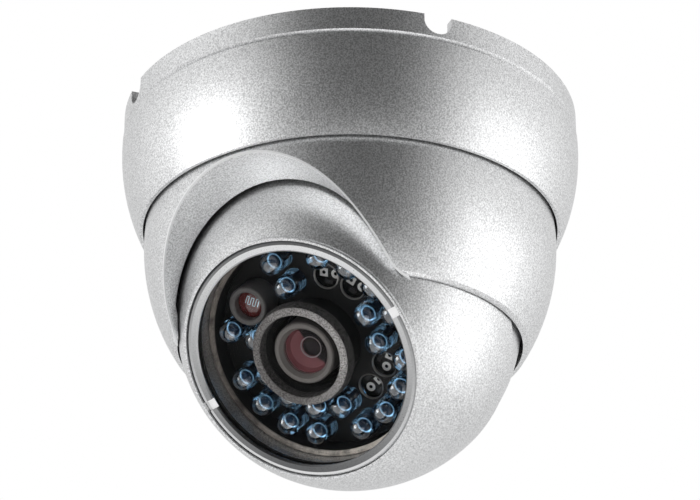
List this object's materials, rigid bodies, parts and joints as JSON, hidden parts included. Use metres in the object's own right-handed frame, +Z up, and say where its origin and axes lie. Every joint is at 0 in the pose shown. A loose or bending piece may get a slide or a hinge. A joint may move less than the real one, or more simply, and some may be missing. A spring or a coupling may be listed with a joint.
{
  "type": "dome camera",
  "caption": "Ceiling dome camera: round base and cover, a panning turret, and an eyeball that tilts and holds a lens inside two rings of lights behind a window.",
  "frame": {"origin": "centre of the base's ceiling face, where the four screw holes are", "axes": "+Z up into the ceiling, -Y the way the camera looks at rest, +X to the right of someone facing the camera; the tilt axis runs along X"},
  "size_m": [0.0944, 0.0944, 0.0799],
  "materials": {
    "silver_paint": "satin silver metallic paint with fine sparkle",
    "bright_ring": "turned, satin",
    "black_rubber": "matte",
    "dark_steel": "black oxide",
    "white_nylon": "matte",
    "steel": "plain",
    "brass": "turned",
    "clear_window": "clear, polished",
    "black_plastic": "fine matte",
    "circuit_board": "black solder mask",
    "solder_pads": "tinned, with a white printed ring",
    "chip_parts": "moulded",
    "grey_plastic": "matte",
    "sensor_resin": "clear resin over a dark red cell",
    "shade_rubber": "grainy matte",
    "filter_glass": "tinted",
    "lens_metal": "black anodised",
    "lens_glass": "coated, polished",
    "led_resin": "blue tinted clear resin"
  },
  "bodies": {
    "base": {"base_tray": "silver_paint", "cable_grommet": "black_rubber", "cover_ring": "silver_paint", "cover_lock_screw": "dark_steel", "pan_friction_ring": "black_rubber", "pan_bearing_washer": "white_nylon"},
    "turret": {"turret_shell": "silver_paint", "tilt_pins": "steel"},
    "eyeball": {"front_housing": "silver_paint", "rear_housing": "silver_paint", "housing_seal": "black_rubber", "housing_screws": "steel", "tilt_bushes": "brass", "rear_grommet": "black_rubber", "window_ring": "bright_ring", "window_glass": "clear_window", "window_gasket": "black_rubber", "face_liner": "black_plastic", "led_mask": "black_plastic", "led_board": "circuit_board", "board_pads": "solder_pads", "board_resistors": "chip_parts", "light_sensor_tube": "grey_plastic", "light_sensor": "sensor_resin", "lens_shade": "shade_rubber", "lens_holder": "black_plastic", "image_sensor": "chip_parts", "ir_filter": "filter_glass", "camera_board": "circuit_board", "power_board": "circuit_board", "power_connector": "white_nylon", "board_posts": "brass", "board_screws": "steel", "led_01": "led_resin", "led_02": "led_resin", "led_03": "led_resin", "led_04": "led_resin", "led_05": "led_resin", "led_06": "led_resin", "led_07": "led_resin", "led_08": "led_resin", "led_09": "led_resin", "led_10": "led_resin", "led_11": "led_resin", "led_12": "led_resin", "led_13": "led_resin", "led_14": "led_resin", "led_15": "led_resin", "led_16": "led_resin", "led_17": "led_resin", "led_18": "led_resin", "led_19": "led_resin", "led_20": "led_resin", "led_21": "led_resin", "led_22": "led_resin"},
    "lens": {"lens_barrel": "lens_metal", "lens_front_element": "lens_glass", "lens_iris": "black_plastic", "lens_rear_element": "lens_glass"}
  },
  "joints": [
    {"name": "pan", "type": "hinge", "parent": "base", "child": "turret", "pos_m": [0, 0, -0.0443], "axis": [0, 0, 1], "range_deg": [-175, 175]},
    {"name": "tilt", "type": "hinge", "parent": "turret", "child": "eyeball", "pos_m": [0, 0, -0.0443], "axis": [1, 0, 0], "range_deg": [-23, 47]},
    {"name": "focus", "type": "hinge", "parent": "eyeball", "child": "lens", "pos_m": [-0.0014, 0, -0.0443], "axis": [0, -0.7314, -0.682], "range_deg": [-180, 180]}
  ]
}
